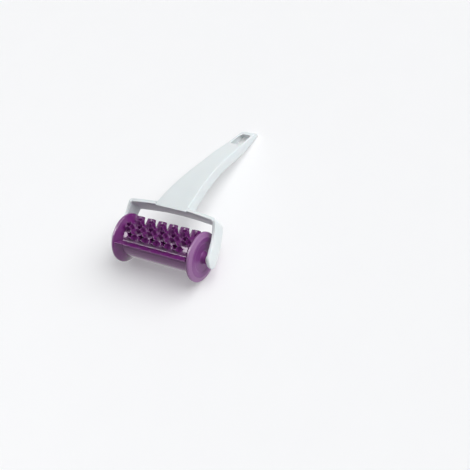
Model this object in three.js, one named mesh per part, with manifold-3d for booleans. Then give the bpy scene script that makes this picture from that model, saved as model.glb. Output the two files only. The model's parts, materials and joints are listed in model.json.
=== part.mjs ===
// Pastry roller that cuts a star lattice into half of each pastry rectangle.
// A purple roller of two cutting discs, six rows of star cutters, a plain half
// and two cross blades turns on a steel axle in a white fork with a broad handle.
// Millimetres, +Z up. X is the roller's axis, and +Y runs to the end of the handle.
// The roller lies as on a table, on its two rims and the tip of the handle.
// All pieces are drawn around the axle, and the last lines move them to the table.
import * as THREE from 'three';
import { mergeVertices } from 'three/addons/utils/BufferGeometryUtils.js';
import Module from 'manifold-3d';

const wasm = await Module();
wasm.setup();

// Fits, and how far a cutting solid runs past what it cuts
const fitGap = 0.3;
const overrun = 8;
const mergeWithin = 0.0001;
const degree = Math.PI / 180;
const roundSteps = 64;
const smallRoundSteps = 32;
const cornerSteps = 5;
const bendSteps = 8;
const splineSteps = 3;

// Cutting discs
const rimRadius = 32;
const rimBand = 4.2;
const rimRounding = 0.7;
const coneLength = 6.1;
const faceWidth = 6.4;
const faceRise = 1.7;
const discWall = 2.6;
const hubBaseRadius = 7.4;
const hubRadius = 6.6;
const hubLength = 6.2;
const spigotLength = 8;

// Drum
const drumRadius = 22.6;
const drumHalfLength = 48.4;
const shellThickness = 3.6;
const coreWall = 3.4;

// Cross blades
const bladeBelowRim = 0.5;
const bladeRootHalf = 2.2;
const bladeEdgeHalf = 0.4;
const bladeDirection = 140.5 * degree;

// Star cutters
const starRowCounts = [5, 6, 5, 6, 5, 6];
const starRowSpan = 25.28 * degree;
const starPitch = 17.1;
const starHeight = 8;
const starOuter = 6.2;
const starWaistShare = 0.52;
const starWall = 0.9;
const starPocket = 1.4;
const starPoints = 5;

// Axle, hub bushes and thrust washers
const axleRadius = 3;
const axleSeat = 3.6;
const bushWall = 1.6;
const bushLength = 16;
const washerRadius = 6.4;
const washerThickness = 1.2;

// Fork
const armWall = 4.8;
const armEndRadius = 11.2;
const armFlare = 7.8;
const bossRadius = 6.4;
const bossHeight = 1.1;
const barReach = 43.4;
const barArch = 3.5;
const barTop = 17.5;
const barTopArch = 2.7;
const barBottom = -8.6;
const barBottomArch = 1.9;
const forkTilt = 17.2 * degree;
const innerCorner = 2.5;
const outerCorner = 5;
const armWaistAbove = 9.9;
const armWaistBelow = -12.4;
const tangHalfWidth = 13;
const tangEnd = 92;
const tangTop = 25.5;
const tangThickness = 5;
const tangFall = 4.5;

// Handle
const lipFront = 37;
const lipThickness = 5;
const rootTop = 33.4;
const topFall = 55;
const tipReach = 239.5;
const tipSlant = 8.5;
const tipRise = 1.6;
const flatLength = 43.5;
const flatRise = 9;
const backTop = 15.8;
const rootHalfWidth = 23.6;
const tipHalfWidth = 10.7;
const tipCorner = 4;
const handleWall = 2.4;
const coverThickness = 2.6;
const coverFromTip = 56;
const holeHalfWidth = 8;
const holeHalfLength = 16;
const holeCorner = 5.2;
const holeFromTip = 31;
const lockPlace = 72;
const lockRadius = 3.6;
const pegFirst = 108;
const pegPitch = 27;
const pegCount = 3;
const pegRadius = 1.6;
const pegBossWall = 1.6;
const pegDepth = 5;

// Bends as shares of the lengths above: how far along, then how much of the fall or narrowing.
// The arm's edges give how far out to the crossbar, then how far from the waist to the corner.
const topShares = [[0, 0], [0.06, 0.011], [0.125, 0.033], [0.238, 0.095], [0.362, 0.193],
  [0.506, 0.349], [0.658, 0.531], [0.836, 0.787], [1, 1]];
const backShares = [[0, 0], [0.1, 0.03], [0.19, 0.072], [0.325, 0.155], [0.5, 0.33],
  [0.62, 0.46], [0.746, 0.64], [0.851, 0.8], [1, 1]];
const widthShares = [[0, 0], [0.045, 0.02], [0.12, 0.115], [0.23, 0.293], [0.345, 0.49],
  [0.485, 0.68], [0.63, 0.79], [0.8, 0.905], [1, 1]];
const armTopShares = [[0.2, 0.08], [0.35, 0], [0.5, -0.02], [0.63, 0.08], [0.82, 0.47], [1, 1]];
const armUnderShares = [[0.3, 0.1], [0.45, 0], [0.62, 0.05], [0.82, 0.45], [1, 1]];

const whiteAbs = new THREE.MeshStandardMaterial({ color: 0xe8eced, roughness: 0.38, metalness: 0 });
const purpleAbs = new THREE.MeshStandardMaterial({ color: 0x7a3a80, roughness: 0.3, metalness: 0 });
const whiteNylon = new THREE.MeshStandardMaterial({ color: 0xefefea, roughness: 0.45, metalness: 0 });
const axleSteel = new THREE.MeshStandardMaterial({ color: 0xb9bdc1, roughness: 0.3, metalness: 1 });

// Places that follow from the sizes above
const rimInner = drumHalfLength + coneLength;
const rimOuter = rimInner + rimBand;
const faceX = rimOuter + faceRise;
const faceRadius = rimRadius - faceWidth;
const hubEnd = faceX + hubLength;
const bladeRadius = rimRadius - bladeBelowRim;
const starTipRadius = drumRadius + starHeight;
const topReach = tipReach - tipSlant;
const flatStart = tipReach - flatLength;
const coverEnd = tipReach - coverFromTip;
const holeMiddle = tipReach - holeFromTip;
const washerStart = hubEnd + fitGap;
const bossStart = washerStart + washerThickness + fitGap;
const armInner = bossStart + bossHeight;
const cornerInner = armInner - armFlare;
const barOuter = barReach + armWall;
const coreRadius = drumRadius - shellThickness - fitGap;
const coreBore = coreRadius - coreWall;
const bushRadius = axleRadius + fitGap + bushWall;
const halfTurn = 180 * degree;
const bladeBaseSpan = halfTurn - starRowCounts.length * starRowSpan;
const seamAngle = fitGap / 2 / drumRadius;
const spigotRadius = coreBore - fitGap;
const coneRise = rimRadius - rimRounding - drumRadius;
const coneGap = (fitGap * Math.hypot(coneRise, coneLength)) / coneRise;
const tableBelow = -rimRadius;
const flatSlope = flatRise / (tipReach - tipRise - flatStart);

// Turns a three.js geometry into a closed solid
function solidOf(geometry) {
  geometry.deleteAttribute('normal');
  geometry.deleteAttribute('uv');
  const merged = mergeVertices(geometry, mergeWithin);
  return new wasm.Manifold(new wasm.Mesh({
    numProp: 3,
    vertProperties: new Float32Array(merged.attributes.position.array),
    triVerts: new Uint32Array(merged.index.array),
  }));
}

function meshOf(name, solid, material) {
  const data = solid.getMesh();
  const geometry = new THREE.BufferGeometry();
  geometry.setAttribute('position', new THREE.BufferAttribute(new Float32Array(data.vertProperties), 3));
  geometry.setIndex(new THREE.BufferAttribute(new Uint32Array(data.triVerts), 1));
  const mesh = new THREE.Mesh(geometry, material);
  mesh.name = name;
  return mesh;
}

function shapeOf(points) {
  return new THREE.Shape(points.map(([across, up]) => new THREE.Vector2(across, up)));
}

function extruded(shape, length, steps) {
  return new THREE.ExtrudeGeometry(shape, { depth: length, bevelEnabled: false, curveSegments: steps });
}

// An outline in Y and Z, pulled along X to both sides of the middle
function pulledAlongX(points, halfLength) {
  const geometry = extruded(shapeOf(points), 2 * halfLength, cornerSteps);
  geometry.translate(0, 0, -halfLength);
  geometry.rotateX(halfTurn / 2);
  geometry.rotateZ(halfTurn / 2);
  return solidOf(geometry);
}

// An outline in X and Y, pulled along Z
function pulledAlongZ(shape, low, high, steps = cornerSteps) {
  const geometry = extruded(shape, high - low, steps);
  geometry.translate(0, 0, low);
  return solidOf(geometry);
}

// An outline in X and Z, pulled along Y
function pulledAlongY(points, low, high) {
  const geometry = extruded(shapeOf(points), high - low, cornerSteps);
  geometry.rotateX(halfTurn / 2);
  geometry.translate(0, high, 0);
  return solidOf(geometry);
}

function boxOf(xLow, xHigh, yLow, yHigh, zLow, zHigh) {
  const geometry = new THREE.BoxGeometry(xHigh - xLow, yHigh - yLow, zHigh - zLow);
  geometry.translate((xLow + xHigh) / 2, (yLow + yHigh) / 2, (zLow + zHigh) / 2);
  return solidOf(geometry);
}

// A closed outline of [x, radius] pairs, turned about the X axis
function turned(outline, steps = roundSteps) {
  const points = outline.map(([x, radius]) => new THREE.Vector2(radius, x));
  const geometry = new THREE.LatheGeometry([...points, points[0].clone()], steps);
  geometry.rotateZ(-halfTurn / 2);
  return solidOf(geometry);
}

function ringOf(xLow, xHigh, bore, radius, steps = roundSteps) {
  return turned([[xLow, bore], [xLow, radius], [xHigh, radius], [xHigh, bore]], steps);
}

function rodAlongX(xLow, xHigh, radius) {
  const geometry = new THREE.CylinderGeometry(radius, radius, xHigh - xLow, smallRoundSteps);
  geometry.rotateZ(halfTurn / 2);
  geometry.translate((xLow + xHigh) / 2, 0, 0);
  return solidOf(geometry);
}

function postAlongZ(radius, y, low, high) {
  const geometry = new THREE.CylinderGeometry(radius, radius, high - low, smallRoundSteps);
  geometry.rotateX(halfTurn / 2);
  geometry.translate(0, y, (low + high) / 2);
  return solidOf(geometry);
}

function turnedAboutX(solid, angle) {
  return solid.rotate([angle / degree, 0, 0]);
}

function joined(solids) {
  return solids.reduce((sum, solid) => sum.add(solid));
}

function onSide(solid, side) {
  return side < 0 ? solid.mirror([1, 0, 0]) : solid;
}

function arcPoints(radius, from, to, steps) {
  const points = [];
  for (let step = 0; step <= steps; step += 1) {
    const angle = from + ((to - from) * step) / steps;
    points.push([radius * Math.cos(angle), radius * Math.sin(angle)]);
  }
  return points;
}

// A curved slab around the axle between two angles, measured from +Y over +Z
function curvedSlab(from, to, inner, outer, halfLength) {
  const steps = Math.ceil((to - from) / (2 * halfTurn / roundSteps));
  const points = [...arcPoints(outer, from, to, steps), ...arcPoints(inner, to, from, steps)];
  return pulledAlongX(points, halfLength);
}

// A slab of the drum's skin that leaves half a gap at each of its straight edges
function drumSlab(from, to) {
  return curvedSlab(from + seamAngle, to - seamAngle, coreRadius + fitGap, drumRadius, drumHalfLength - fitGap);
}

// A smooth line through the points of a table of shares
function smoothShares(shares) {
  const curve = new THREE.SplineCurve(shares.map(([along, fall]) => new THREE.Vector2(along, fall)));
  return curve.getPoints((shares.length - 1) * splineSteps).map((point) => [point.x, point.y]);
}

// How far a bent line has fallen, as a share, at a share of its length
function bendShare(shares, along) {
  const line = smoothShares(shares);
  let step = 1;
  while (step < line.length - 1 && along > line[step][0]) {
    step += 1;
  }
  const [low, high] = [line[step - 1], line[step]];
  return low[1] + ((high[1] - low[1]) * (along - low[0])) / (high[0] - low[0]);
}

function discSolid() {
  const bore = bushRadius + fitGap;
  return turned([
    [hubEnd, bore],
    [hubEnd - bushLength, bore],
    [hubEnd - bushLength, hubRadius],
    [faceX - discWall, hubRadius],
    [faceX - discWall, spigotRadius - discWall],
    [drumHalfLength - spigotLength, spigotRadius - discWall],
    [drumHalfLength - spigotLength, spigotRadius],
    [drumHalfLength, spigotRadius],
    [drumHalfLength, drumRadius],
    [rimInner, rimRadius - rimRounding],
    [rimInner + rimRounding, rimRadius],
    [rimOuter - rimRounding, rimRadius],
    [rimOuter, rimRadius - rimRounding],
    [faceX, faceRadius],
    [faceX, hubBaseRadius],
    [hubEnd, hubRadius],
  ]);
}

// Trims what stands on the drum to the sloping inner faces of the discs
function clearOfDiscs(solid) {
  const disc = discSolid().translate([-coneGap, 0, 0]);
  return solid.subtract(disc).subtract(onSide(disc, -1));
}

function coreSolid() {
  return ringOf(-drumHalfLength + fitGap, drumHalfLength - fitGap, coreBore, coreRadius);
}

// One star outline around the origin, with its points starting along Y
function starShape(outer) {
  const points = [];
  for (let corner = 0; corner < 2 * starPoints; corner += 1) {
    const radius = corner % 2 === 0 ? outer : outer * starWaistShare;
    const angle = (halfTurn * corner) / starPoints + halfTurn / 2;
    points.push([radius * Math.cos(angle), radius * Math.sin(angle)]);
  }
  return shapeOf(points);
}

function starRowPlaces(count) {
  return Array.from({ length: count }, (_, star) => (star - (count - 1) / 2) * starPitch);
}

// A strip of the drum with its row of hollow stars. A star reaches over the next strip
// without touching it, and its mouth goes a little way into its own strip.
function starStripSolid(row) {
  const middle = starRowDirection(row);
  const places = starRowPlaces(starRowCounts[row]);
  const turn = middle - halfTurn / 2;
  const wallOffset = starWall / Math.sin(halfTurn / starPoints);
  const tubes = places.map((x) => pulledAlongZ(
    starShape(starOuter), drumRadius - shellThickness / 2, starTipRadius,
  ).translate([x, 0, 0]));
  const mouths = places.map((x) => pulledAlongZ(
    starShape(starOuter - wallOffset), drumRadius - starPocket, starTipRadius + overrun,
  ).translate([x, 0, 0]));
  const edge = starRowSpan / 2 - seamAngle;
  const otherSkin = curvedSlab(
    middle + edge, middle + 2 * halfTurn - edge, coreBore, drumRadius + fitGap, drumHalfLength + overrun,
  );
  let stars = turnedAboutX(joined(tubes), turn).subtract(otherSkin);
  stars = stars.add(drumSlab(middle - starRowSpan / 2, middle + starRowSpan / 2));
  return clearOfDiscs(stars.subtract(turnedAboutX(joined(mouths), turn)));
}

function plainShellSolid() {
  const start = bladeDirection + bladeBaseSpan / 2;
  return drumSlab(start, start + halfTurn - bladeBaseSpan);
}

// A wedge across the drum on its own slab, trimmed to the cones of the discs
function bladeSolid(direction) {
  const root = drumRadius - shellThickness / 2;
  const wedge = [[-bladeRootHalf, root], [bladeRootHalf, root], [bladeRootHalf, drumRadius],
    [bladeEdgeHalf, bladeRadius], [-bladeEdgeHalf, bladeRadius], [-bladeRootHalf, drumRadius]];
  const blade = turnedAboutX(pulledAlongX(wedge, rimInner), direction - halfTurn / 2);
  return clearOfDiscs(blade.add(drumSlab(direction - bladeBaseSpan / 2, direction + bladeBaseSpan / 2)));
}

function hubBushSolid() {
  return ringOf(hubEnd - bushLength, hubEnd, axleRadius + fitGap, bushRadius, smallRoundSteps);
}

function washerSolid() {
  const end = washerStart + washerThickness;
  return ringOf(washerStart, end, axleRadius + fitGap, washerRadius, smallRoundSteps);
}

// The crossbar's arch, as a share of its height, at one place across it
function archShare(x) {
  return 1 - (x / cornerInner) ** 2;
}

function archPoints(base, rise, halfSpan) {
  const points = [];
  for (let step = -bendSteps; step <= bendSteps; step += 1) {
    const x = (halfSpan * step) / bendSteps;
    points.push([x, base + rise * archShare(x)]);
  }
  return points;
}

// One face of the bent band, seen along its width, with a rounded bend at each corner
function bandFace(offset, corner) {
  const slope = armFlare / barReach;
  const end = -armEndRadius - overrun;
  const xAt = (out) => armInner + offset - slope * out;
  const turnOut = barReach + offset;
  const bend = [];
  for (let step = 0; step <= bendSteps; step += 1) {
    const share = step / bendSteps;
    const legs = [(1 - share) ** 2, 2 * share * (1 - share), share ** 2];
    const across = [xAt(turnOut - corner), xAt(turnOut), xAt(turnOut) - corner];
    const arch = barArch * archShare(Math.min(xAt(turnOut) - corner, cornerInner));
    const out = [turnOut - corner, turnOut, turnOut + arch];
    const mix = (values) => legs.reduce((sum, leg, index) => sum + leg * values[index], 0);
    bend.push([mix(across), mix(out)]);
  }
  const bar = archPoints(turnOut, barArch, xAt(turnOut) - corner).slice(1, -1);
  const left = [...bend].reverse().map(([x, out]) => [-x, out]).reverse();
  return [[-xAt(end), end], ...left, ...bar, ...bend.reverse(), [xAt(end), end]];
}

// The band of the fork: both arms and the crossbar, before its edges are cut
function bandSolid(grow) {
  const outer = bandFace(armWall + grow, outerCorner);
  const inner = bandFace(-grow, innerCorner);
  const band = shapeOf([...outer, ...inner.reverse()]);
  return pulledAlongZ(band, -armEndRadius - overrun, barTop + barTopArch + overrun);
}

// The side view of the arms and crossbar, as [out, up] around the axle
function forkSide() {
  const end = barOuter + overrun;
  const round = arcPoints(armEndRadius, halfTurn / 2, 3 * halfTurn / 2, 4 * cornerSteps);
  const under = smoothShares(armUnderShares).map(([out, rise]) => [
    out * barReach, armWaistBelow + rise * (barBottom - armWaistBelow),
  ]);
  const top = smoothShares(armTopShares).map(([out, rise]) => [
    out * barReach, armWaistAbove + rise * (barTop - armWaistAbove),
  ]);
  return [...round, ...under, [end, barBottom], [end, barTop + barTopArch + overrun],
    [barReach, barTop + barTopArch + overrun], ...top.reverse()];
}

// The view along the arms: the crossbar's arched top and underside
function forkFront() {
  const wide = armInner + armWall + overrun;
  const deep = -armEndRadius - overrun;
  return [[-wide, deep], [-cornerInner, deep], ...archPoints(barBottom, barBottomArch, cornerInner),
    [cornerInner, deep], [wide, deep], [wide, barTop],
    ...archPoints(barTop, barTopArch, cornerInner).reverse(), [-wide, barTop]];
}

function forkSolid() {
  let fork = bandSolid(0);
  fork = fork.intersect(pulledAlongX(forkSide(), armInner + armWall + overrun));
  fork = fork.intersect(pulledAlongY(forkFront(), -armEndRadius - overrun, barOuter + overrun));
  fork = turnedAboutX(fork, forkTilt);
  for (const side of [-1, 1]) {
    const boss = rodAlongX(bossStart, armInner + armWall / 2, bossRadius);
    const seat = rodAlongX(bossStart - overrun, bossStart + axleSeat + fitGap, axleRadius + fitGap);
    fork = fork.add(onSide(boss, side)).subtract(onSide(seat, side));
  }
  const lipSpace = boxOf(-rootHalfWidth - fitGap, rootHalfWidth + fitGap,
    lipFront - overrun, barOuter + overrun, rootTop - lipThickness - fitGap, rootTop + overrun);
  return fork.subtract(lipSpace).add(tangSolid());
}

// A point of the fork's own frame, [out, up] around the axle, as [y, z]
function fromFork(out, up) {
  return [out * Math.cos(forkTilt) - up * Math.sin(forkTilt), out * Math.sin(forkTilt) + up * Math.cos(forkTilt)];
}

// The middle of the crossbar's wall at one height, as y
function barMiddleAt(z) {
  const out = barReach + barArch + armWall / 2;
  return (out - z * Math.sin(forkTilt)) / Math.cos(forkTilt);
}

function tangSolid() {
  const outline = [[barMiddleAt(tangTop), tangTop], [barMiddleAt(tangTop - tangThickness), tangTop - tangThickness],
    [tangEnd, tangTop - tangFall - tangThickness], [tangEnd, tangTop - tangFall]];
  const lockHole = postAlongZ(lockRadius + fitGap, lockPlace, tableBelow, rootTop + overrun);
  return pulledAlongX(outline, tangHalfWidth).subtract(lockHole);
}

function handleTopAt(y) {
  return rootTop - topFall * bendShare(topShares, (y - lipFront) / (topReach - lipFront));
}

function handleBackAt(y) {
  const start = barMiddleAt(backTop);
  const fall = backTop - tableBelow - flatRise;
  return y < flatStart
    ? backTop - fall * bendShare(backShares, (y - start) / (flatStart - start))
    : tableBelow + flatRise - (y - flatStart) * flatSlope;
}

function topLine(from, to, drop) {
  const inner = smoothShares(topShares).map(([along]) => lipFront + along * (topReach - lipFront));
  const places = [from, ...inner.filter((y) => y > from && y < to), to];
  return places.map((y) => [y, handleTopAt(y) - drop]);
}

function backLine(to, lift) {
  const start = barMiddleAt(backTop);
  const places = smoothShares(backShares).map(([along]) => start + along * (flatStart - start));
  return [...places.filter((y) => y < to), to].map((y) => [y, handleBackAt(y) + lift]);
}

// The handle's side view: lip over the crossbar, curved front, slanted tip and curved back
function handleSide() {
  const lipUnder = rootTop - lipThickness;
  const lipFoot = lipFront + lipThickness * Math.tan(forkTilt);
  return [[lipFoot, lipUnder], [barMiddleAt(lipUnder), lipUnder], ...backLine(tipReach - tipRise, 0),
    [tipReach, tableBelow + tipRise], ...topLine(lipFront, topReach, 0).reverse()];
}

// Half of the handle's plan view, narrowed by an inset, with a rounded corner at its end
function handlePlan(inset, start, end, corner) {
  const span = tipReach - lipFront;
  const widthAt = (y) => rootHalfWidth - inset
    - (rootHalfWidth - tipHalfWidth) * bendShare(widthShares, (y - lipFront) / span);
  const bends = smoothShares(widthShares).map(([along]) => lipFront + along * span);
  const places = [start, ...bends.filter((y) => y > start && y < end - corner), end - corner];
  const half = places.map((y) => [widthAt(y), y]);
  const middle = widthAt(end - corner) - corner;
  const round = arcPoints(corner, 0, halfTurn / 2, cornerSteps).slice(1);
  round.forEach(([across, along]) => half.push([middle + across, end - corner + along]));
  return shapeOf([...half, ...[...half].reverse().map(([across, along]) => [-across, along])]);
}

function slot(halfWidth, halfLength, corner) {
  const shape = new THREE.Shape();
  shape.moveTo(halfWidth, corner - halfLength);
  shape.absarc(halfWidth - corner, halfLength - corner, corner, 0, halfTurn / 2);
  shape.absarc(corner - halfWidth, halfLength - corner, corner, halfTurn / 2, halfTurn);
  shape.absarc(corner - halfWidth, corner - halfLength, corner, halfTurn, 3 * halfTurn / 2);
  shape.absarc(halfWidth - corner, corner - halfLength, corner, 3 * halfTurn / 2, 2 * halfTurn);
  return shape;
}

// A slot-shaped prism square to the handle's flat back, as large as the hanging hole
function holePrism() {
  const shape = slot(holeHalfWidth, holeHalfLength, holeCorner);
  const deep = tipHalfWidth + overrun;
  const height = (handleTopAt(holeMiddle) + handleBackAt(holeMiddle)) / 2;
  return turnedAboutX(pulledAlongZ(shape, -deep, deep), -Math.atan(flatSlope)).translate([0, holeMiddle, height]);
}

// The space of the back cover, with its lift above the handle's back
function coverSpace(inset, end, thickness, under) {
  const outline = [...backLine(end, thickness), ...backLine(end, -under).reverse()];
  const plan = handlePlan(inset, lipFront, end, tipCorner);
  return pulledAlongX(outline, rootHalfWidth).intersect(pulledAlongZ(plan, tableBelow - overrun, rootTop + overrun));
}

function hollowSpace() {
  const start = barMiddleAt(rootTop - lipThickness);
  const end = coverEnd + fitGap;
  const under = [...backLine(end, -overrun)].reverse();
  const above = topLine(barMiddleAt(backTop), end, handleWall);
  const outline = [[start, rootTop - lipThickness - handleWall], ...above, ...under];
  const plan = handlePlan(handleWall, lipFront, end, tipCorner);
  return pulledAlongX(outline, rootHalfWidth).intersect(pulledAlongZ(plan, tableBelow - overrun, rootTop + overrun));
}

function barSpace() {
  const space = turnedAboutX(bandSolid(fitGap), forkTilt);
  const low = boxOf(-rootHalfWidth - overrun, rootHalfWidth + overrun,
    tableBelow, barOuter + overrun, tableBelow, rootTop - lipThickness);
  return space.intersect(low);
}

function handleBody() {
  const plan = handlePlan(0, lipFront, tipReach, tipCorner);
  const block = pulledAlongZ(plan, tableBelow - overrun, rootTop + overrun);
  return pulledAlongX(handleSide(), rootHalfWidth + overrun).intersect(block).subtract(barSpace());
}

function pegPlace(peg) {
  return pegFirst + peg * pegPitch;
}

function frontShellSolid() {
  let shell = handleBody().subtract(hollowSpace());
  let posts = postAlongZ(lockRadius, lockPlace, tableBelow, rootTop);
  for (let peg = 0; peg < pegCount; peg += 1) {
    const y = pegPlace(peg);
    const mouth = handleBackAt(y) + coverThickness + pegDepth + fitGap;
    const boss = postAlongZ(pegRadius + fitGap + pegBossWall, y, tableBelow, rootTop);
    const bore = postAlongZ(pegRadius + fitGap, y, tableBelow - overrun, mouth);
    posts = posts.add(boss.subtract(bore));
  }
  posts = posts.intersect(handleBody());
  const cover = coverSpace(handleWall, coverEnd + fitGap, coverThickness + fitGap, overrun);
  shell = shell.add(posts.subtract(cover));
  return shell.subtract(holePrism());
}

function backCoverSolid() {
  let cover = coverSpace(handleWall + fitGap, coverEnd, coverThickness, 0).subtract(barSpace());
  for (let peg = 0; peg < pegCount; peg += 1) {
    const y = pegPlace(peg);
    const low = handleBackAt(y) + coverThickness / 2;
    cover = cover.add(postAlongZ(pegRadius, y, low, low + coverThickness / 2 + pegDepth));
  }
  return cover;
}

function starRowDirection(row) {
  return bladeDirection - bladeBaseSpan / 2 - (row + 1 / 2) * starRowSpan;
}

const roller = new THREE.Group();
roller.add(meshOf('drum_core', coreSolid(), purpleAbs));
starRowCounts.forEach((_, row) => {
  roller.add(meshOf(`star_strip_${row + 1}`, starStripSolid(row), purpleAbs));
});
roller.add(meshOf('plain_shell', plainShellSolid(), purpleAbs));
roller.add(meshOf('cross_blade_front', bladeSolid(bladeDirection), purpleAbs));
roller.add(meshOf('cross_blade_rear', bladeSolid(bladeDirection - halfTurn), purpleAbs));
for (const [name, side] of [['left', -1], ['right', 1]]) {
  roller.add(meshOf(`disc_${name}`, onSide(discSolid(), side), purpleAbs));
  roller.add(meshOf(`hub_bush_${name}`, onSide(hubBushSolid(), side), whiteNylon));
}

const frame = new THREE.Group();
frame.add(meshOf('fork', forkSolid(), whiteAbs));
frame.add(meshOf('handle_front_shell', frontShellSolid(), whiteAbs));
frame.add(meshOf('handle_back_cover', backCoverSolid(), whiteAbs));
frame.add(meshOf('axle', rodAlongX(-bossStart - axleSeat, bossStart + axleSeat, axleRadius), axleSteel));
for (const [name, side] of [['left', -1], ['right', 1]]) {
  frame.add(meshOf(`thrust_washer_${name}`, onSide(washerSolid(), side), whiteNylon));
}

// The origin is on the table, under the middle of the whole tool
const pastryRoller = new THREE.Group();
pastryRoller.add(frame, roller);
pastryRoller.position.set(0, (rimRadius - tipReach) / 2, rimRadius);

export default pastryRoller;
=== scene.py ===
import json
import math

import bmesh
import bpy
from mathutils import Matrix, Vector


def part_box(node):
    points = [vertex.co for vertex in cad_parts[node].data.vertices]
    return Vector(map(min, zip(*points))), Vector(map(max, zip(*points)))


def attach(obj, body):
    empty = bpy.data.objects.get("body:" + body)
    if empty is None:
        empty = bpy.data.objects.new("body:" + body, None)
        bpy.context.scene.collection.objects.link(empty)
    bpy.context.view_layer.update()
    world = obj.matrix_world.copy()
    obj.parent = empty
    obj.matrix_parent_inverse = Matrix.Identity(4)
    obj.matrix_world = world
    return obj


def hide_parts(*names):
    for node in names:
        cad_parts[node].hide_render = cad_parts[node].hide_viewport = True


# Pastry roller that cuts a star lattice into half of each pastry rectangle: a purple moulded
# roller with two cutting discs, star cutters and two cross blades, on a steel axle in a white
# moulded fork with a broad curved handle. All points are in millimetres around the axle,
# with X along the axle, Y to the end of the handle and Z up, until a mesh is placed.
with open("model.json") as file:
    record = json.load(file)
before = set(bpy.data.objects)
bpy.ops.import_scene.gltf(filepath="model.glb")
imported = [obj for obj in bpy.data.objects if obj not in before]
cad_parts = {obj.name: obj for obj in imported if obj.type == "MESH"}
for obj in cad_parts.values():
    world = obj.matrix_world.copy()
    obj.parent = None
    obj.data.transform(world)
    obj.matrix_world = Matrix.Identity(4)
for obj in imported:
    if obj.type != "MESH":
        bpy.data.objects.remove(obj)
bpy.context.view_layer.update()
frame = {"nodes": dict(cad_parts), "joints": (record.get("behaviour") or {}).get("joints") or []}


# --- Cutting discs ---------------------------------------------------------------------------
# Two wedge-shaped wheels, one at each end of the drum, moulded in purple ABS, polished inside
# and satin outside. The flat face stands a little proud of its bevel, and a cone hub runs to
# the fork.
mm = 0.001
axle_at = Vector(frame["joints"][0]["pos_m"])
disc_low, disc_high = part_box("disc_right")
rim_radius = (disc_high.z - disc_low.z) / 2 / mm
hub_end = disc_high.x / mm
drum_half = 48.4
drum_radius = 22.6
wedge_depth = 6.1
rim_width = 4.2
rim_chamfer = 0.7
rim_flat_inset = 0.9
bevel_depth = 1.7
bevel_height = 6.4
rim_inner = drum_half + wedge_depth
rim_outer = rim_inner + rim_width
face_x = rim_outer + bevel_depth
face_radius = rim_radius - bevel_height
face_step = 0.45
face_lip = 0.5
dish_radius = 18.5
dish_depth = 0.5
dish_slope = 1.2
hub_radius = 6.6
hub_base_radius = 7.4
hub_flare = 1.2
disc_bore = 5.2
disc_wall = 2.6
seat_inset = 0.4
seat_rise = 0.2
spigot_radius = 15
spigot_length = 8
bush_length = 16
turn_steps = 160


def linear(colour):
    """An sRGB hex colour as linear red, green, blue and alpha."""
    parts = [int(colour[i:i + 2], 16) / 255 for i in (1, 3, 5)]
    return (*[p / 12.92 if p <= 0.04045 else ((p + 0.055) / 1.055) ** 2.4 for p in parts], 1)


def add_node(tree, kind, settings=None, links=None):
    """Adds a node. Settings are its properties or its inputs' values, links other nodes' outputs."""
    node = tree.nodes.new(kind)
    for key, value in (settings or {}).items():
        if isinstance(key, str) and hasattr(node, key):
            setattr(node, key, value)
        else:
            node.inputs[key].default_value = value
    for key, output in (links or {}).items():
        tree.links.new(output, node.inputs[key])
    return node


def rounded(corners, steps=5):
    """A closed outline of (a, b, radius) corners with each corner bent to its radius."""
    outline = []
    for i, (a, b, radius) in enumerate(corners):
        here = Vector((a, b))
        back = Vector(corners[i - 1][:2]) - here
        on = Vector(corners[(i + 1) % len(corners)][:2]) - here
        if radius <= 0 or back.length == 0 or on.length == 0:
            outline.append((a, b))
            continue
        angle = back.angle(on)
        reach = min(radius / math.tan(angle / 2), back.length * 0.49, on.length * 0.49)
        start = here + back.normalized() * reach
        end = here + on.normalized() * reach
        for step in range(steps + 1):
            t = step / steps
            point = start * (1 - t) ** 2 + here * 2 * t * (1 - t) + end * t ** 2
            outline.append((point.x, point.y))
    return outline


def finished(name, points, faces, sharp=32):
    """A closed mesh object from points around the axle, smooth but for its sharp edges."""
    mesh = bpy.data.meshes.new(name)
    mesh.from_pydata([axle_at + Vector(p) * mm for p in points], [], faces)
    work = bmesh.new()
    work.from_mesh(mesh)
    bmesh.ops.remove_doubles(work, verts=work.verts, dist=0.004 * mm)
    bmesh.ops.dissolve_degenerate(work, edges=work.edges, dist=0.002 * mm)
    bmesh.ops.recalc_face_normals(work, faces=work.faces)
    work.to_mesh(mesh)
    work.free()
    mesh.shade_smooth()
    mesh.set_sharp_from_angle(angle=math.radians(sharp))
    piece = bpy.data.objects.new(name, mesh)
    bpy.context.scene.collection.objects.link(piece)
    return piece


def ring_faces(here, there, count):
    """Faces between two rings of as many points, which start at here and there in the list."""
    return [(here + i, here + (i + 1) % count, there + (i + 1) % count, there + i)
            for i in range(count)]


def turned(outline, steps=turn_steps):
    """Points and faces of a closed outline of (x, radius), turned about the axle."""
    points, faces, count = [], [], len(outline)
    for step in range(steps):
        angle = 2 * math.pi * step / steps
        points += [(x, r * math.cos(angle), r * math.sin(angle)) for x, r in outline]
        faces += ring_faces(step * count, (step + 1) % steps * count, count)
    return points, faces


def new_material(name):
    """A new material, with its node tree and its shader."""
    material = bpy.data.materials.new(name)
    material.use_nodes = True
    return material, material.node_tree, material.node_tree.nodes["Principled BSDF"]


def varied(tree, pattern, first, second, least, most):
    """A colour between two and a roughness between two, as a pattern says."""
    tint = add_node(tree, "ShaderNodeMix",
                    {"data_type": "RGBA", 6: linear(first), 7: linear(second)}, {0: pattern})
    shine = add_node(tree, "ShaderNodeMapRange", {"To Min": least, "To Max": most},
                     {"Value": pattern})
    return tint.outputs[2], shine.outputs["Result"]


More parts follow.
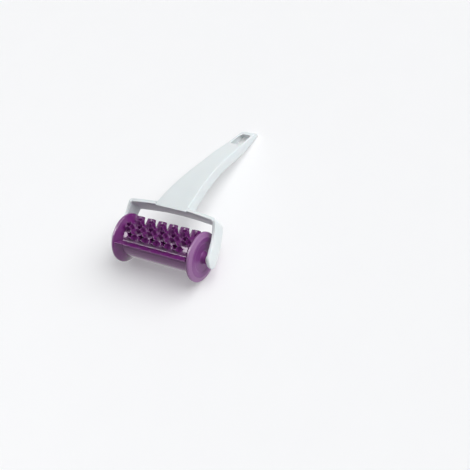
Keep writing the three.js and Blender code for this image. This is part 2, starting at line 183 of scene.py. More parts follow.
def surfaced(tree, shader, tint, shine, relief, strength, depth):
    """Gives the shader its colour, its roughness and the relief of a pattern, depth in mm."""
    bump = add_node(tree, "ShaderNodeBump", {"Strength": strength, "Distance": depth * mm},
                    {"Height": relief})
    tree.links.new(tint, shader.inputs["Base Color"])
    tree.links.new(shine, shader.inputs["Roughness"])
    tree.links.new(bump.outputs["Normal"], shader.inputs["Normal"])


def polished_purple():
    """Purple ABS from a polished mould: deep violet with a clear gloss and faint flow marks.

    The outer sides of the discs come from a blasted part of the mould, which leaves them satin.
    Their colour is also painted a little paler as a painted sheen, most of all on their bevels,
    and the hubs keep a deep purple.
    """
    material, tree, shader = new_material("polished moulded purple ABS")
    shader.inputs["IOR"].default_value = 1.54
    place = add_node(tree, "ShaderNodeTexCoord").outputs["Object"]
    flow = add_node(tree, "ShaderNodeTexNoise",
                    {"Scale": 1 / (22 * mm), "Detail": 3.0, "Roughness": 0.6}, {"Vector": place})
    tint, shine = varied(tree, flow.outputs["Fac"], "#652168", "#712a72", 0.14, 0.2)
    # The outer sides, their bevels and the hubs are told apart by their place around the axle.
    centred = add_node(tree, "ShaderNodeMapping", {"Location": -axle_at}, {"Vector": place})
    apart = add_node(tree, "ShaderNodeSeparateXYZ", links={"Vector": centred.outputs["Vector"]})
    along = add_node(tree, "ShaderNodeMath", {"operation": "ABSOLUTE"}, {0: apart.outputs["X"]})
    across = add_node(tree, "ShaderNodeCombineXYZ",
                      links={"Y": apart.outputs["Y"], "Z": apart.outputs["Z"]})
    radius = add_node(tree, "ShaderNodeVectorMath", {"operation": "LENGTH"},
                      {0: across.outputs["Vector"]})
    outside, on_rim, on_hub = [
        add_node(tree, "ShaderNodeMapRange", {"From Min": none * mm, "From Max": full * mm},
                 {"Value": value}).outputs["Result"]
        for value, none, full in (
            (along.outputs[0], rim_inner + 1.6, rim_inner + 2.4),
            (radius.outputs["Value"], face_radius - 0.1, face_radius + 0.5),
            (radius.outputs["Value"], hub_base_radius + 1.4, hub_base_radius))]
    bevel, hub = [
        add_node(tree, "ShaderNodeMath", {"operation": "MULTIPLY"}, {0: mask, 1: outside}).outputs[0]
        for mask in (on_rim, on_hub)]
    # Painted sheen: the outer sides take a paler purple and their bevels a paler one still, standing in
    # for the satin's reflection of the pale table and room. The hubs take a deep purple like the drum's
    # own.
    for mask, colour in ((outside, "#7b3f80"), (bevel, "#8f5f92"), (hub, "#6e2770")):
        tint = add_node(tree, "ShaderNodeMix", {"data_type": "RGBA", 7: linear(colour)},
                        {0: mask, 6: tint}).outputs[2]
    for mask, roughness in ((outside, 0.42), (hub, 0.7)):
        shine = add_node(tree, "ShaderNodeMix", {"data_type": "FLOAT", 3: roughness},
                         {0: mask, 2: shine}).outputs[0]
    # A polished mould still leaves a slight unevenness, about 0.9 mm from crest to crest.
    grain = add_node(tree, "ShaderNodeTexNoise", {"Scale": 1 / (0.9 * mm), "Detail": 2.0},
                     {"Vector": place})
    surfaced(tree, shader, tint, shine, grain.outputs["Fac"], 0.06, 0.05)
    return material


purple_abs = polished_purple()
# Each corner is its x, its radius and its rounding, from the bore around to the end of the hub.
disc_corners = [
    (hub_end, disc_bore, 0.3),
    (hub_end - bush_length, disc_bore, 0),
    (hub_end - bush_length, hub_radius, 0),
    (face_x - disc_wall, hub_radius, 0.8),
    (face_x - disc_wall, spigot_radius - disc_wall, 0.8),
    (drum_half - spigot_length, spigot_radius - disc_wall, 0),
    (drum_half - spigot_length, spigot_radius, 0.4),
    (drum_half, spigot_radius, 0),
    (drum_half, drum_radius - seat_inset, 0),
    (drum_half + seat_rise, drum_radius, 0.8),
    (rim_inner, rim_radius - rim_chamfer, 0.6),
    (rim_inner + rim_flat_inset, rim_radius, 0.7),
    (rim_outer - rim_flat_inset, rim_radius, 0.7),
    (rim_outer, rim_radius - rim_chamfer, 0.6),
    (face_x - face_step, face_radius + face_lip, 0.5),
    (face_x, face_radius, 0.4),
    (face_x, dish_radius + dish_slope, 1.4),
    (face_x - dish_depth, dish_radius, 1.4),
    (face_x - dish_depth, hub_base_radius + hub_flare, 1.2),
    (face_x + hub_flare, hub_base_radius, 1.4),
    (hub_end, hub_radius, 0.5),
]
for name, side in (("left", -1), ("right", 1)):
    disc = finished("cutting_disc_" + name, *turned([(side * x, r) for x, r in rounded(disc_corners)]))
    disc.data.materials.append(purple_abs)
    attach(disc, "roller")
    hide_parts("disc_" + name)


# --- Drum core -------------------------------------------------------------------------------
# A thick purple tube inside the drum that carries the strips, the blades and the discs. It is
# closed in all round, so the moulded tube of the frame is kept and only takes its plastic.
core = frame["nodes"]["drum_core"]
core.data.materials.clear()
core.data.materials.append(purple_abs)


# --- Plain half ------------------------------------------------------------------------------
# A half shell of purple ABS with nothing on it, which lets its half of the pastry pass uncut.
# It is clipped on the core between the two cross blades.
skin_inner = 19
skin_edge = 0.12
skin_step = math.radians(2)
skin_end_gap = 0.25
skin_half = drum_half - skin_end_gap
blade_direction = math.radians(140.5)
row_span = math.radians(25.28)
row_counts = (5, 6, 5, 6, 5, 6)
blade_span = math.pi - len(row_counts) * row_span
seam_half = 0.06
seam = seam_half / drum_radius


def skin_slab(start, end):
    """Points and faces of a curved slab of the drum's skin between two angles from +Y over +Z.

    Its two long edges are chamfered, which draws a fine line at each seam.
    """
    start, end = start + seam, end - seam
    steps = max(8, round((end - start) / skin_step))
    edge = skin_edge / drum_radius
    angles = [start, start + edge]
    angles += [start + (end - start) * i / steps for i in range(1, steps)]
    angles += [end - edge, end]
    outer = [(drum_radius - (skin_edge if i in (0, steps + 2) else 0), a) for i, a in enumerate(angles)]
    section = [(r * math.cos(a), r * math.sin(a)) for r, a in outer]
    section += [(skin_inner * math.cos(a), skin_inner * math.sin(a)) for a in reversed(angles)]
    count = len(section)
    points = [(x, y, z) for x in (-skin_half, skin_half) for y, z in section]
    faces = ring_faces(0, count, count)
    for base in (0, count):
        faces += [(base + i, base + i + 1, base + count - 2 - i, base + count - 1 - i)
                  for i in range(count // 2 - 1)]
    return points, faces


plain_start = blade_direction + blade_span / 2
plain_half = finished("plain_half_shell", *skin_slab(plain_start, plain_start + math.pi - blade_span))
plain_half.data.materials.append(purple_abs)
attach(plain_half, "roller")
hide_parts("plain_shell")


# --- Cross blades ----------------------------------------------------------------------------
# Two full-width wedges between the plain half and the star half, nearly as high as the rims,
# which cut the strip of pastry across. Each is moulded on its own strip of skin and meets the discs.
blade_below_rim = 0.5
blade_radius = rim_radius - blade_below_rim
blade_foot = 2.2
blade_edge = 0.42
blade_edge_round = 0.3
blade_fillet = 1.6
blade_disc_gap = 0.3
fillet_width = 1.4
fillet_start = 0.45
fillet_rise = 0.5
fillet_inset = 0.1
blade_root = skin_inner + 2


def blade_end(radius):
    """How far along X the blade goes at a radius before it meets the cone of the disc."""
    slope = wedge_depth / (rim_radius - drum_radius)
    return drum_half - blade_disc_gap + max(0, radius - drum_radius) * slope


def blade_mesh(name, direction):
    """A wedge with its strip of skin. Its corners are across it, out from the axle, rounding."""
    corners = []
    for side in (-1, 1):
        half = [(side * (blade_foot + fillet_width), blade_root, 0),
                (side * (blade_foot + fillet_width), drum_radius - fillet_start, 0),
                (side * (blade_foot - fillet_inset), drum_radius + fillet_rise, blade_fillet),
                (side * blade_edge, blade_radius, blade_edge_round)]
        corners += half if side < 0 else reversed(half)
    section = rounded(corners)
    out, along = (math.cos(direction), math.sin(direction)), (-math.sin(direction), math.cos(direction))
    count = len(section)
    points = []
    for side in (-1, 1):
        for across, up in section:
            x = side * blade_end(math.hypot(across, up))
            points.append((x, up * out[0] + across * along[0], up * out[1] + across * along[1]))
    faces = ring_faces(0, count, count) + [tuple(range(count)), tuple(range(count, 2 * count))]
    slab_points, slab_faces = skin_slab(direction - blade_span / 2, direction + blade_span / 2)
    faces += [tuple(i + len(points) for i in face) for face in slab_faces]
    return finished(name, points + slab_points, faces, sharp=28)


for name, turn in (("front", 0), ("rear", math.pi)):
    blade = blade_mesh("blade_" + name, blade_direction - turn)
    blade.data.materials.append(purple_abs)
    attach(blade, "roller")
    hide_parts("cross_blade_" + name)


# --- Star cutters ----------------------------------------------------------------------------
# Six moulded strips of skin, each with its row of hollow five-pointed stars, five and six in
# turn so that the cuts stagger. The stars are thin walls of purple ABS with softened lips, and
# the outermost of a row of six just meet the feet of the discs.
star_pitch = 17.1
star_points = 5
star_outer = 6.2
star_waist = 0.52
star_side_share = 0.4666  # from the middle to a side, as a share of star_outer
star_point_round = 0.34
star_waist_round = 0.5
star_height = 8
star_wall = 0.9
star_edge = 0.45
star_lean = 0.12
star_lip = 0.2
star_floor_fillet = 0.3
star_top = drum_radius + star_height
star_floor = drum_radius + 0.08
star_foot = drum_radius - 0.9
star_bite = 0.15


def star_mesh():
    """One hollow star around the origin, in metres, its open lip up and one point along Y."""
    corners = []
    for corner in range(2 * star_points):
        radius, rounding = star_outer, star_point_round
        if corner % 2 == 1:
            radius, rounding = star_outer * star_waist, star_waist_round
        angle = math.pi * corner / star_points + math.pi / 2
        corners.append((radius * math.cos(angle), radius * math.sin(angle), rounding))
    outline = rounded(corners, steps=3)
    # Each ring is how far it lies in from the foot's outline, and its height from the axle.
    soft = [(star_lip * (1 - math.cos(a)), star_top - star_lip * (1 - math.sin(a)))
            for a in (math.radians(30 * k) for k in range(4))]
    rings = [(0, star_foot)] + [(inset + star_lean, height) for inset, height in soft]
    rings += [(star_edge + star_lean - inset, height) for inset, height in reversed(soft)]
    rings += [(star_wall, star_floor + star_floor_fillet), (star_wall + star_floor_fillet, star_floor)]
    points, faces = [], []
    for inset, height in rings:
        scale = 1 - inset / (star_outer * star_side_share)
        points += [(a * scale * mm, b * scale * mm, height * mm) for a, b in outline]
    count = len(outline)
    for ring in range(len(rings) - 1):
        faces += ring_faces(ring * count, (ring + 1) * count, count)
    points += [(0, 0, star_foot * mm), (0, 0, star_floor * mm)]
    last = (len(rings) - 1) * count
    faces += [(i, len(points) - 2, (i + 1) % count) for i in range(count)]
    faces += [(last + i, last + (i + 1) % count, len(points) - 1) for i in range(count)]
    mesh = bpy.data.meshes.new("star")
    mesh.from_pydata(points, [], faces)
    return mesh


def row_tree():
    """Geometry nodes that repeat the given star along X, centred, in one material."""
    tree = bpy.data.node_groups.new("row of stars", "GeometryNodeTree")
    tree.interface.new_socket("Star", in_out="INPUT", socket_type="NodeSocketGeometry")
    tree.interface.new_socket("Count", in_out="INPUT", socket_type="NodeSocketInt")
    tree.interface.new_socket("Pitch", in_out="INPUT", socket_type="NodeSocketFloat")
    tree.interface.new_socket("Plastic", in_out="INPUT", socket_type="NodeSocketMaterial")
    tree.interface.new_socket("Row", in_out="OUTPUT", socket_type="NodeSocketGeometry")
    given = add_node(tree, "NodeGroupInput").outputs
    gaps = add_node(tree, "ShaderNodeMath", {"operation": "SUBTRACT", 1: 1.0}, {0: given["Count"]})
    length = add_node(tree, "ShaderNodeMath", {"operation": "MULTIPLY"},
                      {0: gaps.outputs[0], 1: given["Pitch"]})
    start = add_node(tree, "ShaderNodeMath", {"operation": "MULTIPLY", 1: -0.5}, {0: length.outputs[0]})
    first = add_node(tree, "ShaderNodeCombineXYZ", links={"X": start.outputs[0]})
    step = add_node(tree, "ShaderNodeCombineXYZ", links={"X": given["Pitch"]})
    line = add_node(tree, "GeometryNodeMeshLine", links={
        "Count": given["Count"], "Start Location": first.outputs[0], "Offset": step.outputs[0]})
    copies = add_node(tree, "GeometryNodeInstanceOnPoints", links={
        "Points": line.outputs[0], "Instance": given["Star"]})
    real = add_node(tree, "GeometryNodeRealizeInstances", links={"Geometry": copies.outputs[0]})
    coloured = add_node(tree, "GeometryNodeSetMaterial", links={
        "Geometry": real.outputs[0], "Material": given["Plastic"]})
    add_node(tree, "NodeGroupOutput", links={"Row": coloured.outputs[0]})
    return tree


def star_row(tree, count):
    """Points, in millimetres, and faces of a row of stars at the top of the drum."""
    maker = bpy.data.objects.new("star_row_maker", star_mesh())
    bpy.context.scene.collection.objects.link(maker)
    repeat = maker.modifiers.new("row", "NODES")
    repeat.node_group = tree
    sizes = {"Count": count, "Pitch": star_pitch * mm, "Plastic": purple_abs}
    for socket in tree.interface.items_tree:
        if socket.in_out == "INPUT" and socket.name in sizes:
            repeat[socket.identifier] = sizes[socket.name]
    view = bpy.context.evaluated_depsgraph_get()
    row = bpy.data.meshes.new_from_object(maker.evaluated_get(view))
    points = [tuple(v.co / mm) for v in row.vertices]
    faces = [tuple(face.vertices) for face in row.polygons]
    bpy.data.objects.remove(maker)
    bpy.data.meshes.remove(row)
    return points, faces


row_nodes = row_tree()
for row, count in enumerate(row_counts):
    direction = blade_direction - blade_span / 2 - (row + 0.5) * row_span
    row_points, row_faces = star_row(row_nodes, count)
    placed = []
    turn = direction - math.pi / 2
    for x, across, up in row_points:
        reach = blade_end(math.hypot(across, up)) + star_bite
        placed.append((max(-reach, min(reach, x)),
                       across * math.cos(turn) - up * math.sin(turn),
                       across * math.sin(turn) + up * math.cos(turn)))
    slab_points, slab_faces = skin_slab(direction - row_span / 2, direction + row_span / 2)
    row_faces += [tuple(i + len(placed) for i in face) for face in slab_faces]
    strip = finished("star_cutters_row_%d" % (row + 1), placed + slab_points, row_faces, sharp=40)
    strip.data.materials.append(purple_abs)
    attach(strip, "roller")
    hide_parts("star_strip_%d" % (row + 1))


# --- Hub bushes and thrust washers -----------------------------------------------------------
# Natural nylon, turned from rod: a bush in the hub of each disc, and a washer between it and
# the arm. Their shapes in the frame are right, so they only take their plastic.
def nylon_plastic():
    """Natural nylon, a warm milky white with a waxy sheen and fine turning marks."""
    material, tree, shader = new_material("turned natural nylon")
    shader.inputs["IOR"].default_value = 1.53
    shader.inputs["Subsurface Weight"].default_value = 0.15
    shader.inputs["Subsurface Scale"].default_value = 1 * mm
    place = add_node(tree, "ShaderNodeTexCoord").outputs["Object"]
    cloud = add_node(tree, "ShaderNodeTexNoise", {"Scale": 1 / (4 * mm), "Detail": 2.0},
                     {"Vector": place})
    tint, shine = varied(tree, cloud.outputs["Fac"], "#e6e4da", "#f1f0e8", 0.4, 0.52)
    # The tool's marks are about 0.1 mm apart; they are drawn 0.6 mm apart so that they show.
    marks = add_node(tree, "ShaderNodeTexWave", {"Scale": 1 / (0.6 * mm), "Distortion": 1.5},
                     {"Vector": place})
    surfaced(tree, shader, tint, shine, marks.outputs["Fac"], 0.15, 0.02)
    return material


nylon = nylon_plastic()
for name in ("hub_bush_left", "hub_bush_right", "thrust_washer_left", "thrust_washer_right"):
    ring = frame["nodes"][name]
    ring.data.materials.clear()
    ring.data.materials.append(nylon)


# --- Axle ------------------------------------------------------------------------------------
# A drawn steel pin, 6 mm thick, pressed into blind seats in the two arms. Only short lengths
# of it show beside the washers, so the pin of the frame stays, in drawn steel.
def drawn_steel():
    """Bright drawn steel: streaks along X from the drawing die, and a mild oil-dulled sheen."""
    material, tree, shader = new_material("drawn steel")
    shader.inputs["Metallic"].default_value = 1
    place = add_node(tree, "ShaderNodeTexCoord").outputs["Object"]
    drawn = add_node(tree, "ShaderNodeMapping", {"Scale": (0.02, 1, 1)}, {"Vector": place})
    # The streaks are finer than 0.1 mm; they are drawn at 0.3 mm so that they show.
    streaks = add_node(tree, "ShaderNodeTexNoise", {"Scale": 1 / (0.3 * mm), "Detail": 3.0},
                       {"Vector": drawn.outputs["Vector"]})
    tint, shine = varied(tree, streaks.outputs["Fac"], "#a3a7ab", "#c2c5c8", 0.24, 0.4)
    surfaced(tree, shader, tint, shine, streaks.outputs["Fac"], 0.2, 0.01)
    return material


steel = drawn_steel()
axle = frame["nodes"]["axle"]
axle.data.materials.clear()
axle.data.materials.append(steel)


# --- Fork ------------------------------------------------------------------------------------
# One white ABS moulding: an arched crossbar bent at both ends into flat arms with round ends,
# all with softened edges. Bosses inside the arms hold the axle, and a tang runs back from the
# crossbar into the handle. "Out" is the way from the axle to the crossbar, and "up" is across it.
fork_tilt = math.radians(17.2)
arm_inner = 69.5
arm_wall = 4.8
arm_end_radius = 11.2
arm_lean = 7.8
bar_reach = 43.4
arm_slope = arm_lean / bar_reach
corner_inner = arm_inner - arm_lean
bar_arch = 3.5
bar_top = 17.5
bar_top_arch = 2.7
bar_bottom = -8.6
bar_bottom_arch = 1.9
waist_above = 9.9
waist_below = -12.4
inner_bend = 2.5
outer_bend = 5
fork_edge = 1.3
lip_under = 28.1
lip_side_gap = 0.3
lip_shoulder = 27
root_half = 23.6
boss_start = 68.4
boss_end = 71.4
boss_bore = 3.3
boss_radius = 6.4
tang_half = 13
tang_end = 92
tang_outline = ((bar_reach, 25.4), (tang_end, 21), (tang_end, 16), (bar_reach + 1.2, 20.5))
end_steps = 14
arm_steps = 26
bend_steps = 14
# The arm's upper and lower edge lines, as shares of the way from its waist to the crossbar.
arm_top_shares = ((0, 0.171), (0.2, 0.08), (0.35, 0), (0.5, -0.02), (0.63, 0.08), (0.82, 0.47), (1, 1))
arm_under_shares = ((0, 0.316), (0.3, 0.1), (0.45, 0), (0.62, 0.05), (0.82, 0.45), (1, 1))


def smooth_line(table, steps=8):
    """A smooth line through the points of a table, as more points."""
    line = []
    for i in range(len(table) - 1):
        p0, p1 = table[max(0, i - 1)], table[i]
        p2, p3 = table[i + 1], table[min(len(table) - 1, i + 2)]
        for step in range(steps):
            t = step / steps
            line.append(tuple(
                (2 * b - 2 * c + (c - a) / 2 + (d - b) / 2) * t ** 3
                + (3 * c - 3 * b - (c - a) - (d - b) / 2) * t ** 2 + (c - a) / 2 * t + b
                for a, b, c, d in zip(p0, p1, p2, p3)))
    return line + [tuple(table[-1])]


def height_at(line, place):
    """The second value of a line of points where its first value is place."""
    for (a, low), (b, high) in zip(line, line[1:]):
        if place <= b:
            return low + (high - low) * max(0, place - a) / max(1e-9, b - a)
    return line[-1][1]


arm_top_line = [(a * bar_reach, waist_above + b * (bar_top - waist_above))
                for a, b in smooth_line(arm_top_shares)]
arm_under_line = [(a * bar_reach, waist_below + b * (bar_bottom - waist_below))
                  for a, b in smooth_line(arm_under_shares)]


def arch_share(x):
    """How much of the crossbar's arch is reached at x: all in the middle, none at its ends."""
    return 1 - min(1, abs(x) / corner_inner) ** 2


def band_plan(station, offset, corner):
    """The x and out of a point on one face of the bent band.

    A station is a part of the band with 0 to 1 along it, or with x for the crossbar.
    """
    part, t = station

    def x_at(out):
        return arm_inner + offset - arm_slope * out

    turn_out = bar_reach + offset
    if part == "arm":
        out = t * (turn_out - corner)
        return x_at(out), out
    if part == "bend":
        end = x_at(turn_out) - corner
        arch = bar_arch * arch_share(end)
        weights = ((1 - t) ** 2, 2 * t * (1 - t), t ** 2)
        across = (x_at(turn_out - corner), x_at(turn_out), end)
        out = (turn_out - corner, turn_out, turn_out + arch)
        return (sum(w * a for w, a in zip(weights, across)), sum(w * o for w, o in zip(weights, out)))
    return t, turn_out + bar_arch * arch_share(t)


def band_heights(x, out):
    """The highest and lowest point of the band at one place in plan."""
    if out < bar_reach:
        top, bottom = height_at(arm_top_line, out), height_at(arm_under_line, out)
    else:
        top, bottom = bar_top + bar_top_arch * arch_share(x), bar_bottom
    if abs(x) < corner_inner:
        bottom = max(bottom, bar_bottom + bar_bottom_arch * arch_share(x))
    if abs(x) <= root_half + lip_side_gap:
        top = min(top, (lip_under - out * math.sin(fork_tilt)) / math.cos(fork_tilt))
    return top, bottom


def from_fork(x, out, up):
    """A point of the fork's own out and up as one around the axle."""
    return (x, out * math.cos(fork_tilt) - up * math.sin(fork_tilt),
            out * math.sin(fork_tilt) + up * math.cos(fork_tilt))


def fork_band():
    """Points and faces of the arms and the crossbar, with rounded edges."""
    quarter = [math.pi / 2 * k / 4 for k in range(5)]
    corner = [(fork_edge * (1 - math.sin(a)), fork_edge * (1 - math.cos(a))) for a in quarter]
    # Each point of the section is how far it lies in from the edge line and under the outer face.
    ring = [(inset, depth, 1) for inset, depth in corner]
    ring += [(inset, arm_wall - depth, 1) for inset, depth in reversed(corner)]
    ring += [(inset, depth, -1) for inset, depth, _ in reversed(ring)]
    # A step at each side of the handle's lip lets it into the top of the crossbar.
    bar_places = [50 - 4 * k for k in range(6)] + [lip_shoulder]
    bar_places += [root_half + lip_side_gap + 0.04, root_half + lip_side_gap]
    bar_places += [20 - 4 * k for k in range(6)]
    stations = [("end", math.pi / 2 * k / end_steps) for k in range(end_steps)]
    stations += [("arm", k / arm_steps) for k in range(arm_steps)]
    stations += [("bend", k / bend_steps) for k in range(bend_steps + 1)]
    stations += [("bar", x) for x in bar_places]
    half = []
    for station in stations:
        loop = []
        for inset, depth, face in ring:
            share = 1 - depth / arm_wall
            if station[0] == "end":
                radius = arm_end_radius - inset
                out = -radius * math.cos(station[1])
                x = arm_inner + share * arm_wall - arm_slope * out
                up = face * radius * math.sin(station[1])
            else:
                inner = Vector(band_plan(station, 0, inner_bend))
                outer = Vector(band_plan(station, arm_wall, outer_bend))
                x, out = inner.lerp(outer, share)
                top, bottom = band_heights(x, out)
                up = top - inset if face > 0 else bottom + inset
            loop.append([x, out, up])
        half.append(loop)
    # The edge lines are smoothed between the arm's round end and the lip.
    for _ in range(3):
        before = [[p[2] for p in loop] for loop in half]
        for i in range(end_steps + 2, stations.index(("bar", lip_shoulder))):
            for k, point in enumerate(half[i]):
                point[2] = (before[i - 1][k] + 2 * before[i][k] + before[i + 1][k]) / 4
    loops = half + [[(-x, out, up) for x, out, up in loop] for loop in reversed(half[:-1])]
    points = [from_fork(*p) for loop in loops for p in loop]
    count = len(ring)
    faces = []
    for i in range(len(loops) - 1):
        faces += ring_faces(i * count, (i + 1) * count, count)
    return points, faces


def add_part(points, faces, more_points, more_faces):
    """Adds a part's points and faces to those of the moulding."""
    faces += [tuple(i + len(points) for i in face) for face in more_faces]
    points += more_points


def boss_part(side):
    """The ring inside an arm that the axle's end sits in."""
    corners = [(boss_start, boss_bore, 0.3), (boss_start, boss_radius, 0.5),
               (boss_end, boss_radius, 0), (boss_end, boss_bore, 0)]
    return turned([(side * x, r) for x, r in rounded(corners, steps=3)], 48)


def tang_part():
    """The flat tongue from the crossbar into the hollow handle."""
    points = [(x, y, z) for x in (-tang_half, tang_half) for y, z in tang_outline]
    sides = [(i, i + 4, (i + 1) % 4 + 4, (i + 1) % 4) for i in range(4)]
    return points, [(0, 1, 2, 3), (7, 6, 5, 4)] + sides


def white_plastic():
    """White ABS from a fine-blasted mould: cool white, an even satin with a barely seen grain."""
    material, tree, shader = new_material("satin moulded white ABS")
    shader.inputs["IOR"].default_value = 1.54
    shader.inputs["Subsurface Weight"].default_value = 0.05
    shader.inputs["Subsurface Scale"].default_value = 1.5 * mm
    place = add_node(tree, "ShaderNodeTexCoord").outputs["Object"]
    cloud = add_node(tree, "ShaderNodeTexNoise", {"Scale": 1 / (35 * mm), "Detail": 3.0},
                     {"Vector": place})
    tint, shine = varied(tree, cloud.outputs["Fac"], "#d7ddde", "#dde3e4", 0.34, 0.44)
    # The blasted grain is about 0.1 mm; it is drawn at 0.4 mm so that it still shows at this size.
    grain = add_node(tree, "ShaderNodeTexNoise", {"Scale": 1 / (0.4 * mm), "Detail": 2.0},
                     {"Vector": place})
    surfaced(tree, shader, tint, shine, grain.outputs["Fac"], 0.08, 0.03)
    return material


white_abs = white_plastic()
fork_points, fork_faces = fork_band()
for side in (-1, 1):
    add_part(fork_points, fork_faces, *boss_part(side))
add_part(fork_points, fork_faces, *tang_part())
fork = finished("fork_moulding", fork_points, fork_faces, sharp=36)
fork.data.materials.append(white_abs)
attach(fork, "handle_fork")
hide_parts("fork")


# --- Handle ----------------------------------------------------------------------------------
# A long tapering grip of white ABS in two mouldings. The front shell laps over the crossbar
# with a lip and ends in a slanted tip with a hanging hole; the back cover is pressed into it.
lip_front = 37
lip_round = 1.2
root_top = 33.4
lip_bottom = 28.4
top_fall = 55
tip_reach = 239.5
top_reach = 231
tip_rise = 1.6
tip_break = 0.99
back_top = 15.8
flat_start = 196
flat_rise = 9
tip_half = 10.7
tip_corner = 4
handle_wall = 2.4
handle_edge = 1.3
cover_thickness = 2.6
cover_end = tip_reach - 56
cover_gap = 0.3
cover_edge = 0.35
recess_edge = 0.2
hole_middle = tip_reach - 31
hole_half_width = 8
hole_half_length = 16
hole_corner = 5.2
hole_edge = 0.7
relief_front_wall = 1.6
relief_side_wall = 1.9
relief_corner = 2.5
relief_shift = 2.2
relief_half_length = hole_half_length + 2.6
overrun = 3
bar_face_out = bar_reach + arm_wall + bar_arch
# The lines of the front face, the back and the half width, as shares of their reach and fall.
top_shares = ((0, 0), (0.06, 0.011), (0.125, 0.033), (0.238, 0.095), (0.362, 0.193), (0.506, 0.349),
              (0.658, 0.531), (0.836, 0.787), (1, 1))
back_shares = ((0, 0), (0.1, 0.03), (0.19, 0.072), (0.325, 0.155), (0.5, 0.33), (0.62, 0.46),
               (0.746, 0.64), (0.851, 0.8), (1, 1))
width_shares = ((0, 0), (0.045, 0.02), (0.12, 0.115), (0.23, 0.293), (0.345, 0.49), (0.485, 0.68),
                (0.63, 0.79), (0.8, 0.905), (1, 1))


def bar_face(z):
    """How far along Y the crossbar's outer face is at a height."""
    return (bar_face_out - z * math.sin(fork_tilt)) / math.cos(fork_tilt)


table_z = -rim_radius
back_start = (bar_reach + bar_arch + arm_wall / 2 - back_top * math.sin(fork_tilt)) / math.cos(fork_tilt)
top_line = [(lip_front + a * (top_reach - lip_front), root_top - b * top_fall)
            for a, b in smooth_line(top_shares)]
back_fall = back_top - table_z - flat_rise
back_line = [(back_start + a * (flat_start - back_start), back_top - b * back_fall)
             for a, b in smooth_line(back_shares)]
flat_end = tip_reach - tip_rise
flat_slope = flat_rise / (flat_end - flat_start)
back_line += [(flat_end, table_z)]
width_line = [(lip_front + a * (tip_reach - lip_front), root_half - b * (root_half - tip_half))
              for a, b in smooth_line(width_shares)]
break_z = root_top - top_fall
top_slope = (top_line[-2][1] - top_line[-1][1]) / (top_line[-1][0] - top_line[-2][0])
tip_slope = (break_z - table_z - tip_rise) / (tip_reach - top_reach)


def top_at(y):
    """The height of the front face, which breaks softly into the slanted tip."""
    slant = break_z - (y - top_reach) * tip_slope
    along = height_at(top_line, y) if y <= top_reach else break_z - (y - top_reach) * top_slope
    gap = along - slant
    if abs(gap) > tip_break:
        return min(along, slant)
    return (along + slant) / 2 - (tip_break ** 2 + gap ** 2) / (4 * tip_break)


def flat_at(y):
    """The height of the flat back around the hanging hole, and of its plane beyond it."""
    return table_z + (flat_end - y) * flat_slope


def bottom_at(y):
    """The height of the back, which turns up at 45 degrees at the very tip."""
    return height_at(back_line, y) if y <= flat_end else table_z + (y - flat_end)


def half_width_at(y, inset=0, end=tip_reach):
    """Half the width of the grip, or of what lies inset in it and ends at end in round corners."""
    width = height_at(width_line, min(y, end - tip_corner)) - inset
    if y > end - tip_corner:
        width += -tip_corner + math.sqrt(max(0, tip_corner ** 2 - (y - end + tip_corner) ** 2))
    return width


def grip_ring(half_width, low, high, edge):
    """A rounded section of the grip across X and up, the same number of points each time."""
    edge = min(edge, (high - low) * 0.48)
    ring = []
    for x_side, z_side, start in ((1, 1, 0), (-1, 1, 90), (-1, -1, 180), (1, -1, 270)):
        centre = (x_side * (half_width - edge), (high - edge) if z_side > 0 else (low + edge))
        for k in range(6):
            angle = math.radians(start + 18 * k)
            ring.append((centre[0] + edge * math.cos(angle), centre[1] + edge * math.sin(angle)))
        if (x_side, z_side) in ((1, 1), (-1, -1)):
            for share in (0.6, 0.2, -0.2, -0.6):
                ring.append((share * x_side * (half_width - edge), high if z_side > 0 else low))
    return ring


def lofted(rings):
    """Points and faces of a closed skin over rings of points, flat at both ends."""
    count = len(rings[0])
    points = [p for ring in rings for p in ring]
    faces = []
    for i in range(len(rings) - 1):
        faces += ring_faces(i * count, (i + 1) * count, count)
    faces += [tuple(range(count)), tuple(range(len(points) - count, len(points)))]
    return points, faces


def cut(piece, *tools):
    """Takes closed tool meshes out of a piece, one after the other, and throws the tools away."""
    for tool in tools:
        saw = piece.modifiers.new("cut", "BOOLEAN")
        saw.operation = "DIFFERENCE"
        saw.solver = "EXACT"
        saw.object = tool
    view = bpy.context.evaluated_depsgraph_get()
    result = bpy.data.meshes.new_from_object(piece.evaluated_get(view))
    piece.modifiers.clear()
    old = piece.data
    piece.data = result
    bpy.data.meshes.remove(old)
    for tool in tools:
        bpy.data.objects.remove(tool)
    return piece


def grip_stations():
    """Places of the grip's sections along Y: a few at the lip, then even, and close at the tip."""
    even_start, even_end = lip_front + 11, top_reach - 4
    places = [lip_front + 3.4 + k * 1.4 for k in range(4)]
    places += [even_start + k * (even_end - even_start) / 92 for k in range(93)]
    places += [even_end + k * 0.75 for k in range(1, 12)]
    tip_start = tip_reach - tip_corner
    return places + [tip_start + tip_corner * math.sin(math.pi / 2 * k / 10) for k in range(1, 10)]


